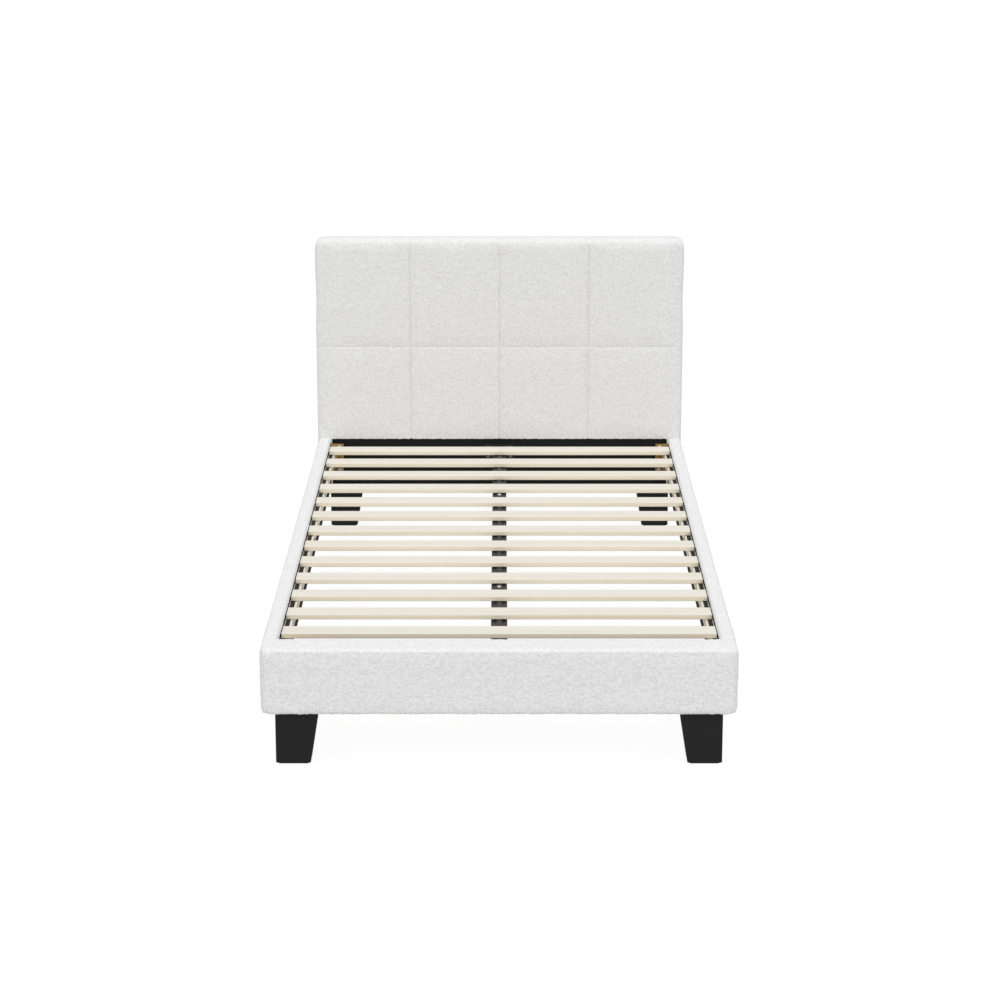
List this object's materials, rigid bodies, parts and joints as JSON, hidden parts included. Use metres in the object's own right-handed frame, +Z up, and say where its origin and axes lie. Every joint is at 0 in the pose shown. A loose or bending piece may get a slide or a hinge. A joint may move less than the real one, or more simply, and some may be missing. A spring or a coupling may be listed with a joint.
{
  "type": "upholstered headboard bed",
  "caption": "Low single bed in white looped fabric: a padded headboard with stitched squares, padded rails, pine slats on webbing, a steel centre beam and black tapered legs.",
  "frame": {"origin": "floor level, under the middle of the bed's outline", "axes": "+Y from the foot rail towards the headboard, +Z up, +X to the right seen from the foot"},
  "size_m": [1.068, 2.065, 0.865],
  "materials": {
    "looped_fabric": "matte looped pile",
    "black_lining": "matte non-woven",
    "black_webbing": "woven tape",
    "foam": "open-cell foam",
    "frame_timber": "sawn",
    "plywood": "sanded",
    "pale_pine": "planed, unfinished",
    "amber_pine": "sawn, unfinished",
    "black_steel": "powder coat",
    "zinc_steel": "zinc plated",
    "black_plastic": "satin moulded",
    "pad_plastic": "moulded",
    "black_rubber": "moulded"
  },
  "bodies": {
    "bed_frame": {"headboard_left_post": "frame_timber", "headboard_right_post": "frame_timber", "headboard_top_rail": "frame_timber", "headboard_middle_rail": "frame_timber", "headboard_bottom_rail": "frame_timber", "headboard_packing_rail": "frame_timber", "headboard_face_board": "plywood", "headboard_foam": "foam", "headboard_cover": "looped_fabric", "headboard_lower_cover": "black_lining", "headboard_back_cover": "black_lining", "side_rail_board_left": "frame_timber", "side_rail_board_right": "frame_timber", "side_rail_foam_left": "foam", "side_rail_foam_right": "foam", "side_rail_cover_left": "looped_fabric", "side_rail_cover_right": "looped_fabric", "rail_linings": "black_lining", "slat_ledge_left": "pale_pine", "slat_ledge_right": "pale_pine", "foot_rail_outer_board": "plywood", "foot_rail_inner_board": "plywood", "foot_rail_cap": "frame_timber", "foot_rail_spacers": "frame_timber", "foot_rail_foam": "foam", "foot_rail_cover": "looped_fabric", "corner_blocks": "amber_pine", "corner_bolts": "zinc_steel", "corner_t_nuts": "zinc_steel", "front_left_leg": "black_plastic", "front_right_leg": "black_plastic", "rear_left_leg": "black_plastic", "rear_right_leg": "black_plastic", "leg_studs": "zinc_steel", "leg_glides": "black_rubber", "centre_beam": "black_steel", "beam_hanger_head": "black_steel", "beam_hanger_foot": "black_steel", "centre_leg_foot": "black_steel", "centre_leg_head": "black_steel", "centre_leg_bolts": "zinc_steel", "wood_screws": "zinc_steel"},
    "slat_set": {"slat_01": "pale_pine", "slat_02": "pale_pine", "slat_03": "pale_pine", "slat_04": "pale_pine", "slat_05": "pale_pine", "slat_06": "pale_pine", "slat_07": "pale_pine", "slat_08": "pale_pine", "slat_09": "pale_pine", "slat_10": "pale_pine", "slat_11": "pale_pine", "slat_12": "pale_pine", "slat_13": "pale_pine", "slat_webbing": "black_webbing"},
    "foot_pad": {"levelling_pad_foot": "pad_plastic"},
    "foot_stud": {"levelling_stud_foot": "zinc_steel"},
    "head_pad": {"levelling_pad_head": "pad_plastic"},
    "head_stud": {"levelling_stud_head": "zinc_steel"}
  },
  "joints": [
    {"name": "slat_set_lift", "type": "slide", "parent": "bed_frame", "child": "slat_set", "axis": [0, 0, 1], "range_m": [0, 0.3]},
    {"name": "foot_pad_travel", "type": "slide", "parent": "bed_frame", "child": "foot_pad", "axis": [0, 0, 1], "range_m": [0, 0.01]},
    {"name": "foot_stud_turn", "type": "hinge", "parent": "foot_pad", "child": "foot_stud", "pos_m": [0, -0.4735, 0], "axis": [0, 0, 1], "range_deg": [0, 2881]},
    {"name": "head_pad_travel", "type": "slide", "parent": "bed_frame", "child": "head_pad", "axis": [0, 0, 1], "range_m": [0, 0.01]},
    {"name": "head_stud_turn", "type": "hinge", "parent": "head_pad", "child": "head_stud", "pos_m": [0, 0.3955, 0], "axis": [0, 0, 1], "range_deg": [0, 2881]}
  ],
  "couplings": [
    {"joint": "foot_stud_turn", "follows": "foot_pad_travel", "rad_per_m": 5026.5},
    {"joint": "head_stud_turn", "follows": "head_pad_travel", "rad_per_m": 5026.5}
  ]
}
